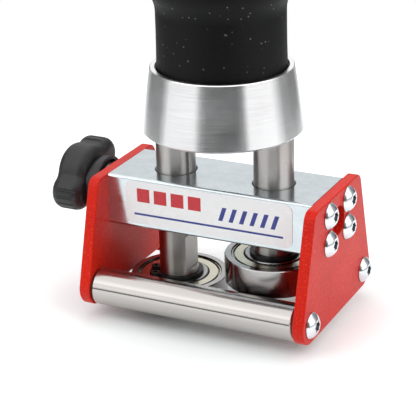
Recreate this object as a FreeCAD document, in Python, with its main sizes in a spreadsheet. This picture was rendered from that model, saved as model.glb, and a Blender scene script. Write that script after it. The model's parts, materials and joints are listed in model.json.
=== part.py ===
"""A hand bender for sheet metal: a grip on two posts, each post ending in a ball bearing,
and a depth frame that slides on the posts between two red side plates.

X runs from bearing to bearing, Y along the bend, Z up the grip. The sheet stands in the
plane between the bearings, and its edge runs on the cross roller. The origin is on the bench,
in the middle of the left post's end face. Lengths are in millimetres.
"""
import FreeCAD, Part

import math
import os

import Sketcher

DIMENSIONS = {
    # Crosshead block, carried on the posts and clamped by the wing knob
    "bearing_plate_gap": 2.25,
    "block_depth": 28.4,
    "block_height": 18.55,
    "block_bottom": 31.05,
    "block_edge_radius": 1.0,
    "bore_mouth_chamfer": 0.15,
    # Label plate on the block's front
    "label_length": 63.3,
    "label_height": 15.9,
    "label_thickness": 0.2,
    "label_corner_radius": 3.0,
    "label_centre_height": 9.6,
    # Side plates, a trapezoid whose lower corners are round about their screws
    "plate_thickness": 4.0,
    "plate_lean": 0.282,
    "plate_foot_radius": 6.8,
    "plate_shoulder_radius": 4.0,
    "plate_edge_radius": 0.4,
    "plate_bevel": 2.9,
    # Cross roller, a tube on plain bushes round a fixed axle
    "roller_offset": 24.4,
    "roller_height": 11.2,
    "roller_radius": 6.5,
    "roller_end_gap": 0.6,
    "roller_chamfer": 0.6,
    "axle_radius": 4.0,
    "axle_play": 0.05,
    "roller_bush_wall": 1.2,
    "roller_bush_length": 12.0,
    "roller_bush_flange": 0.4,
    "roller_bush_flange_radius": 5.9,
    # Button head screws, the same size everywhere
    "screw_radius": 2.5,
    "screw_reach": 8.0,
    "screw_hole_play": 0.25,
    "tapped_depth_spare": 1.0,
    "head_radius": 4.6,
    "head_height": 2.4,
    "head_rim": 0.35,
    "screw_end_chamfer": 0.5,
    "head_flat_radius": 2.5,
    "head_dome_radius": 4.4,
    "recess_depth": 1.5,
    "recess_tip_radius": 2.1,
    "recess_root_radius": 1.45,
    "screw_offset": 8.4,
    "screw_row_low": 3.1,
    "screw_row_pitch": 10.2,
    # Posts, pressed into the collar
    "post_spacing": 37.5,
    "post_radius": 7.0,
    "post_end_chamfer": 0.8,
    "post_seat_depth": 4.0,
    "spigot_radius": 5.0,
    "spigot_top": 16.5,
    "post_flat_offset": 5.12,
    "post_flat_bottom": 12.5,
    "post_flat_top": 25.6,
    # Guide bushes pressed into the block from below
    "guide_wall": 0.45,
    "guide_play": 0.05,
    "guide_flange_radius": 8.6,
    "guide_flange_thickness": 1.35,
    # Deep groove ball bearings
    "bearing_radius": 17.5,
    "bearing_width": 10.0,
    "inner_ring_radius": 10.4,
    "outer_ring_bore": 15.2,
    "ring_chamfer": 0.3,
    "ball_pitch_radius": 13.0,
    "ball_radius": 3.0,
    "ball_play": 0.03,
    "ball_count": 8,
    "cage_wall": 0.8,
    "cage_top": 3.45,
    "cage_bottom": -0.3,
    "cage_play": 0.06,
    "shield_inset": 0.45,
    "shield_thickness": 0.35,
    "shield_play": 0.45,
    "shield_bead_radius": 14.75,
    "shield_groove_width": 0.75,
    "right_bearing_bottom": 14.0,
    # Circlips over the bearings
    "circlip_thickness": 1.0,
    "circlip_play": 0.05,
    "circlip_radius": 8.6,
    "circlip_groove_depth": 0.3,
    "circlip_gap": 3.0,
    "circlip_lug_radius": 1.7,
    "circlip_lug_reach": 8.6,
    "circlip_lug_offset": 2.9,
    "circlip_hole_radius": 0.75,
    # Turned collar that carries both posts and the grip
    "collar_bottom": 67.5,
    "collar_height": 22.3,
    "collar_bottom_radius": 27.9,
    "collar_lip_width": 1.7,
    "collar_bottom_chamfer": 0.7,
    "collar_top_chamfer": 0.3,
    "collar_recess_gap": 0.5,
    "collar_recess_depth": 4.0,
    "set_screw_height": 10.0,
    "set_screw_length": 12.0,
    "set_screw_dimple": 0.5,
    "set_screw_hex": 1.3,
    "set_screw_hex_depth": 3.0,
    # Bolt that draws the grip core onto the collar
    "bolt_radius": 5.0,
    "bolt_play": 0.3,
    "bolt_head_radius": 8.0,
    "bolt_head_height": 10.0,
    "bolt_length": 26.0,
    "bolt_end_chamfer": 1.0,
    "bolt_head_edge": 0.6,
    "bolt_hex": 4.0,
    "counterbore_depth": 11.5,
    # Grip
    "core_radius": 17.5,
    "core_bore_radius": 15.5,
    "core_thread_depth": 21.0,
    "core_web_thickness": 5.0,
    "grip_length": 112.0,
    "grip_foot_radius": 22.4,
    "grip_waist_radius": 22.0,
    "grip_flare_height": 17.2,
    "grip_wave": 1.2,
    "grip_wave_pitch": 20.0,
    "grip_wave_start": 23.2,
    "grip_end_fillet": 2.5,
    "cap_radius": 20.4,
    "cap_height": 6.5,
    "cap_rim": 2.0,
    "cap_plug_length": 12.0,
    # Wing knob with its clamp screw, washer and brass pad
    "knob_axis_height": 8.4,
    "knob_gap": 8.2,
    "knob_thickness": 12.3,
    "knob_wing_length": 32.6,
    "knob_wing_radius": 6.4,
    "knob_wing_shift": 1.65,
    "knob_wing_lift": 2.55,
    "knob_hub_radius": 10.75,
    "knob_root_radius": 2.6,
    "knob_edge_radius": 3.8,
    "knob_rib_radius": 0.55,
    "knob_neck_radius": 9.35,
    "knob_neck_length": 1.8,
    "knob_skirt_radius": 10.4,
    "knob_skirt_length": 2.5,
    "knob_skirt_wall": 1.1,
    "knob_recess_depth": 2.1,
    "clamp_screw_radius": 4.95,
    "clamp_thread_play": 0.05,
    "clamp_hub_radius": 7.0,
    "clamp_hub_length": 1.6,
    "clamp_spigot_length": 11.5,
    "clamp_end_chamfer": 0.8,
    "clamp_tip_radius": 2.5,
    "clamp_tip_length": 2.0,
    "plate_hole_radius": 5.25,
    "washer_radius": 8.4,
    "washer_thickness": 1.2,
    "washer_gap": 0.05,
    "washer_edge": 0.2,
    "washer_bore_play": 0.3,
    "pad_length": 4.0,
    "pad_play": 0.08,
    "pad_stand_off": 0.05,
}

# Directions about each piece's own axis, in degrees
KNOB_TURN = 25.5
CIRCLIP_TURNS = {"left": 205.0, "right": 116.0}

# Grooves round the tips of the knob's wings: their spacing in degrees, and how many on each
KNOB_RIB_PITCH = 24.0
KNOB_REAR_RIBS = 8
KNOB_FRONT_RIBS = 5

# Full waves along the grip above its plain foot
GRIP_WAVES = 4

TOLERANCE = 1e-4
BEYOND = 5.0

doc = FreeCAD.newDocument("sheet_metal_hand_bender")
sheet = doc.addObject("Spreadsheet::Sheet", "Sizes")
exported = []


class Size:
    """A length that knows its number and the sheet formula that it comes from."""

    def __init__(self, number, formula):
        self.number = float(number)
        self.formula = formula

    def joined(self, other, sign, number):
        return Size(number, "(%s %s %s)" % (self.formula, sign, as_size(other).formula))

    def __add__(self, other):
        return self.joined(other, "+", self.number + as_size(other).number)

    def __sub__(self, other):
        return self.joined(other, "-", self.number - as_size(other).number)

    def __mul__(self, other):
        return self.joined(other, "*", self.number * as_size(other).number)

    def __truediv__(self, other):
        return self.joined(other, "/", self.number / as_size(other).number)

    def __neg__(self):
        return self * -1

    def root(self):
        return Size(math.sqrt(self.number), "sqrt(%s)" % self.formula)


def as_size(value):
    if isinstance(value, Size):
        return value
    return Size(value, repr(float(value)))


def fill_sheet():
    """Write each driving dimension as a plain number in column B, with its name beside it."""
    for row, (name, number) in enumerate(DIMENSIONS.items(), start=1):
        sheet.set("A%d" % row, name)
        sheet.set("B%d" % row, str(number))
        sheet.setAlias("B%d" % row, name)
    doc.recompute()


def size(name):
    return Size(DIMENSIONS[name], "Sizes." + name)


def bind(thing, path, value):
    thing.setExpression(path, as_size(value).formula)


def new_body(name, x=0.0, y=0.0, z=0.0, axis=(0, 0, 1), angle=0.0):
    """An exported body, turned about an axis. Its x is measured from midway between the posts."""
    body = doc.addObject("PartDesign::Body", name)
    body.Label = name
    body.AllowCompound = True
    body.Placement = FreeCAD.Placement(FreeCAD.Vector(), FreeCAD.Rotation(FreeCAD.Vector(*axis), angle))
    for letter, value in (("x", half_spacing + x), ("y", y), ("z", z)):
        bind(body, "Placement.Base." + letter, value)
    exported.append(body)
    return body


def origin_feature(body, role):
    return next(item for item in body.Origin.OriginFeatures if item.Role == role)


def new_sketch(body, name, role, lift=0.0):
    """A sketch on one of the body's origin planes, or lifted off it along its normal."""
    sketch = body.newObject("Sketcher::SketchObject", body.Name + "_" + name)
    sketch.AttachmentSupport = [(origin_feature(body, role), "")]
    sketch.MapMode = "FlatFace"
    bind(sketch, "AttachmentOffset.Base.z", lift)
    return sketch


def pin_point(sketch, index, end, x, y):
    """Hold one point of a sketch at x, y with two dimensions bound to the sheet."""
    for kind, axis, value in (("DistanceX", -2, as_size(x)), ("DistanceY", -1, as_size(y))):
        if abs(value.number) < 1e-9:
            sketch.addConstraint(Sketcher.Constraint("PointOnObject", index, end, axis))
            continue
        place = sketch.addConstraint(Sketcher.Constraint(kind, -1, 1, index, end, value.number))
        bind(sketch, "Constraints[%d]" % place, value)


def arc_between(start, end, radius):
    """The short arc from start to end. A positive radius bends it to the left of the way."""
    middle = (start + end) * 0.5
    half = (end - start) * 0.5
    rise = math.sqrt(max(radius * radius - half.Length * half.Length, 0.0))
    side = FreeCAD.Vector(-half.y, half.x, 0.0).normalize()
    centre = middle + side * (rise if radius > 0 else -rise)
    first, last = (start, end) if radius > 0 else (end, start)
    angles = [math.atan2(point.y - centre.y, point.x - centre.x) for point in (first, last)]
    circle = Part.Circle(centre, FreeCAD.Vector(0, 0, 1), abs(radius))
    return Part.ArcOfCircle(circle, angles[0], angles[1])


def draw_outline(sketch, points):
    """A closed outline. A third value on a point is the radius of the arc that leads to it."""
    corners = [FreeCAD.Vector(as_size(point[0]).number, as_size(point[1]).number, 0.0) for point in points]
    ends = []
    for place, point in enumerate(points):
        start = corners[place - 1]
        end = corners[place]
        if len(point) == 3:
            radius = as_size(point[2])
            index = sketch.addGeometry(arc_between(start, end, radius.number), False)
            mark = sketch.addConstraint(Sketcher.Constraint("Radius", index, abs(radius.number)))
            bind(sketch, "Constraints[%d]" % mark, radius if radius.number > 0 else -radius)
            ends.append((index, 1, 2) if radius.number > 0 else (index, 2, 1))
        else:
            index = sketch.addGeometry(Part.LineSegment(start, end), False)
            ends.append((index, 1, 2))
    for place, point in enumerate(points):
        following = ends[(place + 1) % len(ends)]
        sketch.addConstraint(Sketcher.Constraint("Coincident", ends[place][0], ends[place][2],
                                                 following[0], following[1]))
        pin_point(sketch, ends[place][0], ends[place][2], point[0], point[1])


def draw_circle(sketch, x, y, radius):
    centre = FreeCAD.Vector(as_size(x).number, as_size(y).number, 0.0)
    index = sketch.addGeometry(Part.Circle(centre, FreeCAD.Vector(0, 0, 1), as_size(radius).number), False)
    mark = sketch.addConstraint(Sketcher.Constraint("Radius", index, as_size(radius).number))
    bind(sketch, "Constraints[%d]" % mark, radius)
    pin_point(sketch, index, 3, x, y)


def add_pad(body, name, sketch, length, reverse=False, both_sides=False):
    pad = body.newObject("PartDesign::Pad", body.Name + "_" + name)
    pad.Profile = sketch
    pad.Reversed = reverse
    if both_sides:
        pad.SideType = "Symmetric"
    bind(pad, "Length", length)
    doc.recompute()
    return pad


def cut_volume(body, feature, before):
    doc.recompute()
    if not feature.Shape.Volume < before - 1e-6:
        raise RuntimeError("%s removes nothing" % feature.Name)
    return feature


def add_pocket(body, name, sketch, depth, reverse=False):
    """Cut a sketch into the body, against the sketch's normal unless it is reversed."""
    before = body.Shape.Volume
    pocket = body.newObject("PartDesign::Pocket", body.Name + "_" + name)
    pocket.Profile = sketch
    pocket.Reversed = reverse
    bind(pocket, "Length", depth)
    return cut_volume(body, pocket, before)


def drill(body, name, role, lift, spots, radius, depth, reverse=False):
    """Round holes of one radius, from a plane lifted off an origin plane of the body."""
    sketch = new_sketch(body, name + "_sketch", role, lift)
    for x, y in spots:
        draw_circle(sketch, x, y, radius)
    return add_pocket(body, name, sketch, depth, reverse)


def turn(body, name, points, axis="V_Axis", kind="PartDesign::Revolution"):
    """Revolve an outline drawn in the XZ plane about the local Z (V_Axis) or X (H_Axis)."""
    before = body.Shape.Volume if kind == "PartDesign::Groove" else 0.0
    sketch = new_sketch(body, name + "_sketch", "XZ_Plane")
    draw_outline(sketch, points)
    feature = body.newObject(kind, body.Name + "_" + name)
    feature.Profile = sketch
    feature.ReferenceAxis = (sketch, [axis])
    feature.Angle = 360.0
    if kind == "PartDesign::Groove":
        return cut_volume(body, feature, before)
    doc.recompute()
    return feature


def turn_circle_groove(body, name, pitch_radius, radius):
    """A raceway: a circle revolved about Z and cut out of a ring."""
    before = body.Shape.Volume
    sketch = new_sketch(body, name + "_sketch", "XZ_Plane")
    draw_circle(sketch, pitch_radius, 0.0, radius)
    feature = body.newObject("PartDesign::Groove", body.Name + "_" + name)
    feature.Profile = sketch
    feature.ReferenceAxis = (sketch, ["V_Axis"])
    feature.Angle = 360.0
    return cut_volume(body, feature, before)


def dress(body, kind, name, base, edges, amount):
    """A fillet or chamfer on the numbered edges of a feature."""
    feature = body.newObject("PartDesign::" + kind, body.Name + "_" + name)
    feature.Base = (base, ["Edge%d" % number for number in edges])
    bind(feature, "Radius" if kind == "Fillet" else "Size", amount)
    doc.recompute()
    if not edges or feature.Shape.isNull() or not feature.Shape.isValid():
        raise RuntimeError("%s failed on %d edges" % (feature.Name, len(edges)))
    return feature


def edges_where(feature, test):
    """Numbers of the feature's edges for which the test is true."""
    return [number for number, edge in enumerate(feature.Shape.Edges, start=1) if test(edge)]


def runs_along(edge, direction):
    """True for a straight edge along a direction."""
    if not isinstance(edge.Curve, Part.Line):
        return False
    return abs(abs(edge.Curve.Direction.dot(FreeCAD.Vector(*direction))) - 1.0) < TOLERANCE


def is_circle(edge, radius, height=None, axis="z"):
    """True for a circular edge of a radius, at a height along an axis if one is given."""
    if not isinstance(edge.Curve, Part.Circle) or abs(edge.Curve.Radius - radius) > TOLERANCE:
        return False
    return height is None or abs(getattr(edge.Curve.Center, axis) - height) < TOLERANCE


def repeat_along(body, name, originals, first, second=None):
    """Copies of features: two along one axis, or a two by two grid along two."""
    pattern = body.newObject("PartDesign::LinearPattern", body.Name + "_" + name)
    pattern.Originals = originals
    pattern.Direction = (origin_feature(body, first[0]), [""])
    pattern.Occurrences = 2
    bind(pattern, "Length", first[1])
    if second:
        pattern.Direction2 = (origin_feature(body, second[0]), [""])
        pattern.Occurrences2 = 2
        bind(pattern, "Length2", second[1])
    body.Tip = pattern
    doc.recompute()
    return pattern


def repeat_round(body, name, originals, count):
    pattern = body.newObject("PartDesign::PolarPattern", body.Name + "_" + name)
    pattern.Originals = originals
    pattern.Axis = (origin_feature(body, "Z_Axis"), [""])
    pattern.Angle = 360.0
    bind(pattern, "Occurrences", count)
    body.Tip = pattern
    doc.recompute()
    return pattern


fill_sheet()

# Places that several pieces share
half_spacing = size("post_spacing") / 2
half_block = half_spacing + size("bearing_radius") + size("bearing_plate_gap")
half_depth = size("block_depth") / 2
block_top = size("block_bottom") + size("block_height")
plate_outside = half_block + size("plate_thickness")
guide_bore = size("post_radius") + size("guide_play") + size("guide_wall")
clamp_height = size("block_bottom") + size("knob_axis_height")
clamp_bore = size("clamp_screw_radius") + size("clamp_thread_play")
screw_tapped_depth = size("screw_reach") + size("tapped_depth_spare")
screw_clearance = size("screw_radius") + size("screw_hole_play")
screw_through = size("plate_thickness") + size("screw_reach")
screw_low_height = size("block_bottom") + size("screw_row_low")
roller_length = (half_block - size("roller_end_gap")) * 2
roller_bore = size("axle_radius") + size("axle_play") + size("roller_bush_wall")
grip_seat = size("collar_bottom") + size("collar_height") - size("collar_recess_depth")
grip_top = grip_seat + size("grip_length")
circlip_inner = size("post_radius") - size("circlip_groove_depth")


def crosshead_block():
    """The plated block: two guide bores, and at each end four tapped holes round a clamp hole."""
    body = new_body("crosshead_block", z=size("block_bottom"))
    base = new_sketch(body, "base", "XY_Plane")
    draw_outline(base, [(-half_block, -half_depth), (half_block, -half_depth),
                        (half_block, half_depth), (-half_block, half_depth)])
    add_pad(body, "bar", base, size("block_height"))
    bar = body.Tip
    long_edges = edges_where(bar, lambda edge: runs_along(edge, (1, 0, 0)))
    dress(body, "Fillet", "long_edges", bar, long_edges, size("block_edge_radius"))
    bores = drill(body, "guide_bores", "XY_Plane", size("block_height"),
                  [(-half_spacing, 0.0), (half_spacing, 0.0)], guide_bore, size("block_height"))
    mouths = edges_where(bores, lambda edge: is_circle(edge, guide_bore.number, size("block_height").number))
    dress(body, "Chamfer", "bore_mouths", bores, mouths, size("bore_mouth_chamfer"))
    spots = [(along, size("screw_row_low") + row)
             for along in (-size("screw_offset"), size("screw_offset"))
             for row in (as_size(0.0), size("screw_row_pitch"))]
    for end, lift, reverse in (("left", -half_block, True), ("right", half_block, False)):
        drill(body, end + "_tapped_holes", "YZ_Plane", lift, spots, size("screw_radius"),
              screw_tapped_depth, reverse)
        drill(body, end + "_clamp_hole", "YZ_Plane", lift, [(0.0, size("knob_axis_height"))],
              clamp_bore, half_block - half_spacing, reverse)


def label_plate():
    """A thin plate with round corners on the block's front, left blank here."""
    body = new_body("label_plate", y=-half_depth, z=size("block_bottom") + size("label_centre_height"))
    face = new_sketch(body, "face", "XZ_Plane")
    half_length = size("label_length") / 2
    half_height = size("label_height") / 2
    draw_outline(face, [(-half_length, -half_height), (half_length, -half_height),
                        (half_length, half_height), (-half_length, half_height)])
    plate = add_pad(body, "plate", face, size("label_thickness"))
    corners = edges_where(plate, lambda edge: runs_along(edge, (0, 1, 0)))
    dress(body, "Fillet", "corners", plate, corners, size("label_corner_radius"))


def side_plate(name, x, inner, outward):
    """A steel plate that leans in towards the top, its feet round about the lower screws.

    The inner face, at local x inner, has its lower edge bevelled clear of the bent sheet.
    """
    body = new_body(name, x=x)
    lean = size("plate_lean")
    reach = size("roller_offset") + size("plate_foot_radius") * (lean * lean + 1).root()
    top = reach - lean * (block_top - size("roller_height"))
    foot = reach + lean * size("plate_foot_radius")
    foot_height = size("roller_height") - size("plate_foot_radius")
    face = new_sketch(body, "face", "YZ_Plane")
    draw_outline(face, [(-foot, foot_height), (foot, foot_height), (top, block_top), (-top, block_top)])
    blank = add_pad(body, "blank", face, size("plate_thickness"))
    for corner, height, radius in (("feet", foot_height, "plate_foot_radius"),
                                   ("shoulders", block_top, "plate_shoulder_radius")):
        blank = dress(body, "Fillet", corner, blank, edges_where(blank, lambda edge, height=height: (
            runs_along(edge, (1, 0, 0)) and abs(edge.CenterOfMass.z - height.number) < TOLERANCE)),
            size(radius))
    rims = edges_where(blank, lambda edge: edge.BoundBox.XLength < TOLERANCE)
    blank = dress(body, "Fillet", "rims", blank, rims, size("plate_edge_radius"))
    far_in = inner - (size("plate_bevel") + BEYOND) * outward
    bevel = new_sketch(body, "bevel_sketch", "XZ_Plane")
    draw_outline(bevel, [(far_in, foot_height - BEYOND),
                         (inner + (size("plate_bevel") + BEYOND) * outward, foot_height - BEYOND),
                         (far_in, foot_height + size("plate_bevel") * 2 + BEYOND)])
    whole = blank.Shape.Volume
    cut = body.newObject("PartDesign::Pocket", name + "_bevel")
    cut.Profile = bevel
    cut.SideType = "Symmetric"
    bind(cut, "Length", size("roller_offset") * 2)
    cut_volume(body, cut, whole)
    spots = [(-size("roller_offset"), size("roller_height"))]
    spots += [(along, screw_low_height + row)
              for along in (-size("screw_offset"), size("screw_offset"))
              for row in (as_size(0.0), size("screw_row_pitch"))]
    drill(body, "screw_holes", "YZ_Plane", size("plate_thickness"), spots, screw_clearance,
          size("plate_thickness"))
    drill(body, "corner_hole", "YZ_Plane", size("plate_thickness"),
          [(size("roller_offset"), size("roller_height"))], size("screw_radius"), size("plate_thickness"))
    drill(body, "clamp_hole", "YZ_Plane", size("plate_thickness"), [(0.0, clamp_height)],
          size("plate_hole_radius"), size("plate_thickness"))


def button_screws(name, x, angle, height, offset, reach, grid=False):
    """A button head screw along the local X axis, head outwards, or a grid of four of them."""
    body = new_body(name, x=x, angle=angle)
    screw = new_sketch(body, "profile", "XZ_Plane", offset)
    shank = size("screw_radius")
    edge = size("screw_end_chamfer")
    draw_outline(screw, [
        (-reach, height), (-reach, height + shank - edge), (-reach + edge, height + shank),
        (0.0, height + shank), (0.0, height + size("head_radius")),
        (size("head_rim"), height + size("head_radius")),
        (size("head_height"), height + size("head_flat_radius"), -size("head_dome_radius")),
        (size("head_height"), height)])
    axis = screw.addGeometry(Part.LineSegment(FreeCAD.Vector(-reach.number, height.number, 0),
                                              FreeCAD.Vector(size("head_height").number, height.number, 0)),
                             True)
    pin_point(screw, axis, 1, -reach, height)
    pin_point(screw, axis, 2, size("head_height"), height)
    blank = body.newObject("PartDesign::Revolution", name + "_blank")
    blank.Profile = screw
    blank.ReferenceAxis = (screw, ["Axis0"])
    blank.Angle = 360.0
    doc.recompute()
    star = new_sketch(body, "recess_star", "YZ_Plane", size("head_height"))
    points = []
    for step in range(12):
        radius = size("recess_root_radius") if step % 2 else size("recess_tip_radius")
        angle_here = math.radians(step * 30.0)
        points.append((radius * math.cos(angle_here) - offset, radius * math.sin(angle_here) + height))
    draw_outline(star, points)
    recess = add_pocket(body, "recess", star, size("recess_depth"))
    if grid:
        repeat_along(body, "grid", [blank, recess], ("Y_Axis", offset * 2), ("Z_Axis", size("screw_row_pitch")))


def roller_axle():
    """A fixed steel axle between the plates, tapped at both ends."""
    body = new_body("roller_axle", y=-size("roller_offset"), z=size("roller_height"))
    hole = half_block - screw_tapped_depth
    screw = size("screw_radius")
    rod = size("axle_radius")
    turn(body, "rod", [(-half_block, screw), (-half_block, rod), (half_block, rod), (half_block, screw),
                       (hole, screw), (hole, 0.0), (-hole, 0.0), (-hole, screw)], "H_Axis")


def cross_roller():
    """The polished tube that the sheet's edge runs on."""
    body = new_body("cross_roller", y=-size("roller_offset"), z=size("roller_height"))
    half = roller_length / 2
    outside = size("roller_radius")
    edge = size("roller_chamfer")
    turn(body, "tube", [(-half, roller_bore), (-half, outside - edge), (-half + edge, outside),
                        (half - edge, outside), (half, outside - edge), (half, roller_bore)], "H_Axis")


def roller_bushes():
    """Two flanged plain bushes, one pressed into each end of the roller."""
    body = new_body("roller_bushes", y=-size("roller_offset"), z=size("roller_height"))
    half = roller_length / 2
    inside = size("axle_radius") + size("axle_play")
    lip = half + size("roller_bush_flange")
    bush = turn(body, "bush", [(half - size("roller_bush_length"), inside),
                               (half - size("roller_bush_length"), roller_bore), (half, roller_bore),
                               (half, size("roller_bush_flange_radius")),
                               (lip, size("roller_bush_flange_radius")), (lip, inside)], "H_Axis")
    mirror = body.newObject("PartDesign::Mirrored", "roller_bushes_pair")
    mirror.Originals = [bush]
    mirror.MirrorPlane = (origin_feature(body, "YZ_Plane"), [""])
    body.Tip = mirror
    doc.recompute()


def guide_bush(name, x, window_turn):
    """A thin flanged bush for a post, with a window towards the clamp hole."""
    body = new_body(name, x=x, z=size("block_bottom"), angle=window_turn)
    inside = size("post_radius") + size("guide_play")
    flange = -size("guide_flange_thickness")
    turn(body, "sleeve", [(inside, flange), (size("guide_flange_radius"), flange),
                          (size("guide_flange_radius"), 0.0), (guide_bore, 0.0),
                          (guide_bore, size("block_height") - size("bore_mouth_chamfer")),
                          (inside, size("block_height") - size("bore_mouth_chamfer"))])
    drill(body, "window", "YZ_Plane", 0.0, [(0.0, size("knob_axis_height"))], clamp_bore,
          guide_bore + BEYOND)


def post(name, x, bottom, angle=0.0, with_flat=False):
    """A ground post with a thinner spigot on top and the bearing's seat at its lower end."""
    body = new_body(name, x=x)
    shoulder = size("collar_bottom") + size("post_seat_depth")
    top = size("collar_bottom") + size("spigot_top")
    radius = size("post_radius")
    spigot = size("spigot_radius")
    edge = size("post_end_chamfer")
    turn(body, "bar", [(0.0, bottom), (radius - edge, bottom), (radius, bottom + edge), (radius, shoulder),
                       (spigot, shoulder), (spigot, top - edge), (spigot - edge, top), (0.0, top)])
    seat = bottom + size("bearing_width")
    groove_top = seat + size("circlip_thickness") + size("circlip_play") * 2
    turn(body, "circlip_groove", [(circlip_inner, seat), (radius + BEYOND, seat),
                                  (radius + BEYOND, groove_top), (circlip_inner, groove_top)],
         kind="PartDesign::Groove")
    drill(body, "dimple", "XZ_Plane", -(spigot - size("set_screw_dimple")),
          [(0.0, size("collar_bottom") + size("set_screw_height"))], size("screw_radius"),
          size("set_screw_dimple") + BEYOND)
    if with_flat:
        flat = new_sketch(body, "flat_sketch", "XZ_Plane")
        inner = size("post_flat_offset")
        run_out = radius - inner
        draw_outline(flat, [(inner, size("post_flat_bottom")), (radius + BEYOND, size("post_flat_bottom")),
                            (radius + BEYOND, size("post_flat_top") + run_out + BEYOND),
                            (inner, size("post_flat_top"))])
        before = body.Shape.Volume
        cut = body.newObject("PartDesign::Pocket", name + "_flat")
        cut.Profile = flat
        cut.SideType = "Symmetric"
        bind(cut, "Length", radius * 2 + BEYOND)
        cut_volume(body, cut, before)


def circlip(side, x, bottom):
    """An external circlip with two lugs, sprung into the post's groove over the bearing."""
    body = new_body(side + "_circlip", x=x, z=bottom + size("bearing_width") + size("circlip_play"),
                    angle=CIRCLIP_TURNS[side])
    ring = new_sketch(body, "ring_sketch", "XY_Plane")
    draw_circle(ring, 0.0, 0.0, size("circlip_radius"))
    draw_circle(ring, 0.0, 0.0, circlip_inner)
    add_pad(body, "ring", ring, size("circlip_thickness"))
    for side, sign in (("first", 1), ("second", -1)):
        lug = new_sketch(body, side + "_lug_sketch", "XY_Plane")
        draw_circle(lug, size("circlip_lug_reach"), size("circlip_lug_offset") * sign,
                    size("circlip_lug_radius"))
        add_pad(body, side + "_lug", lug, size("circlip_thickness"))
    half_gap = size("circlip_gap") / 2
    gap = new_sketch(body, "gap_sketch", "XY_Plane", size("circlip_thickness"))
    far = size("circlip_radius") + size("circlip_lug_radius") + BEYOND
    draw_outline(gap, [(0.0, -half_gap), (far, -half_gap), (far, half_gap), (0.0, half_gap)])
    add_pocket(body, "gap", gap, size("circlip_thickness"))
    drill(body, "holes", "XY_Plane", size("circlip_thickness"),
          [(size("circlip_lug_reach"), size("circlip_lug_offset")),
           (size("circlip_lug_reach"), -size("circlip_lug_offset"))],
          size("circlip_hole_radius"), size("circlip_thickness"))


def ball_bearing(side, x, bottom):
    """One shielded bearing as inner ring, outer ring, shields, balls and cage."""
    place = {"x": x, "z": bottom + size("bearing_width") / 2}
    half = size("bearing_width") / 2
    edge = size("ring_chamfer")
    race = size("ball_radius") + size("ball_play")
    pitch = size("ball_pitch_radius")

    inner = new_body(side + "_bearing_inner_ring", **place)
    bore = size("post_radius")
    land = size("inner_ring_radius")
    turn(inner, "ring", [(bore, -half), (land - edge, -half), (land, -half + edge),
                         (land, half - edge), (land - edge, half), (bore, half)])
    turn_circle_groove(inner, "race", pitch, race)

    outer = new_body(side + "_bearing_outer_ring", **place)
    rim = size("bearing_radius")
    shoulder = size("outer_ring_bore")
    seat = shoulder + size("shield_thickness")
    near = half - size("shield_inset") - size("shield_thickness")
    far = near - size("shield_thickness") * 2
    turn(outer, "ring", [
        (shoulder, -far), (seat, -far), (seat, -near), (shoulder, -near), (shoulder, -half),
        (rim - edge, -half), (rim, -half + edge), (rim, half - edge), (rim - edge, half),
        (shoulder, half), (shoulder, near), (seat, near), (seat, far), (shoulder, far)])
    turn_circle_groove(outer, "race", pitch, race)

    shields = new_body(side + "_bearing_shields", **place)
    lip = size("inner_ring_radius") + size("shield_play")
    face = half - size("shield_inset")
    back = face - size("shield_thickness")
    bead = size("shield_bead_radius")
    step = size("shield_thickness")
    groove = bead - step / 2
    rise = groove - size("shield_groove_width")
    shield = turn(shields, "shield", [
        (lip, back), (rise - step, back), (rise - step, far), (seat, far), (seat, near),
        (bead + step / 2, near), (bead + step / 3, face), (bead - step / 3, face), (groove, near - step),
        (rise, near - step), (rise, face), (lip, face)])
    mirror = shields.newObject("PartDesign::Mirrored", shields.Name + "_pair")
    mirror.Originals = [shield]
    mirror.MirrorPlane = (origin_feature(shields, "XY_Plane"), [""])
    shields.Tip = mirror
    doc.recompute()

    balls = new_body(side + "_bearing_balls", **place)
    ball = balls.newObject("PartDesign::AdditiveSphere", balls.Name + "_ball")
    bind(ball, "Radius", size("ball_radius"))
    bind(ball, "Placement.Base.x", pitch)
    doc.recompute()
    repeat_round(balls, "circle", [ball], size("ball_count"))

    cage = new_body(side + "_bearing_cage", **place)
    wall = size("cage_wall")
    turn(cage, "ring", [(pitch - wall, size("cage_bottom")), (pitch + wall, size("cage_bottom")),
                        (pitch + wall, size("cage_top")), (pitch - wall, size("cage_top"))])
    ring_volume = cage.Shape.Volume
    pocket = cage.newObject("PartDesign::SubtractiveSphere", cage.Name + "_pocket")
    bind(pocket, "Radius", size("ball_radius") + size("cage_play"))
    bind(pocket, "Placement.Base.x", pitch)
    doc.recompute()
    pattern = repeat_round(cage, "pockets", [pocket], size("ball_count"))
    cut_volume(cage, pattern, ring_volume)


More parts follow.
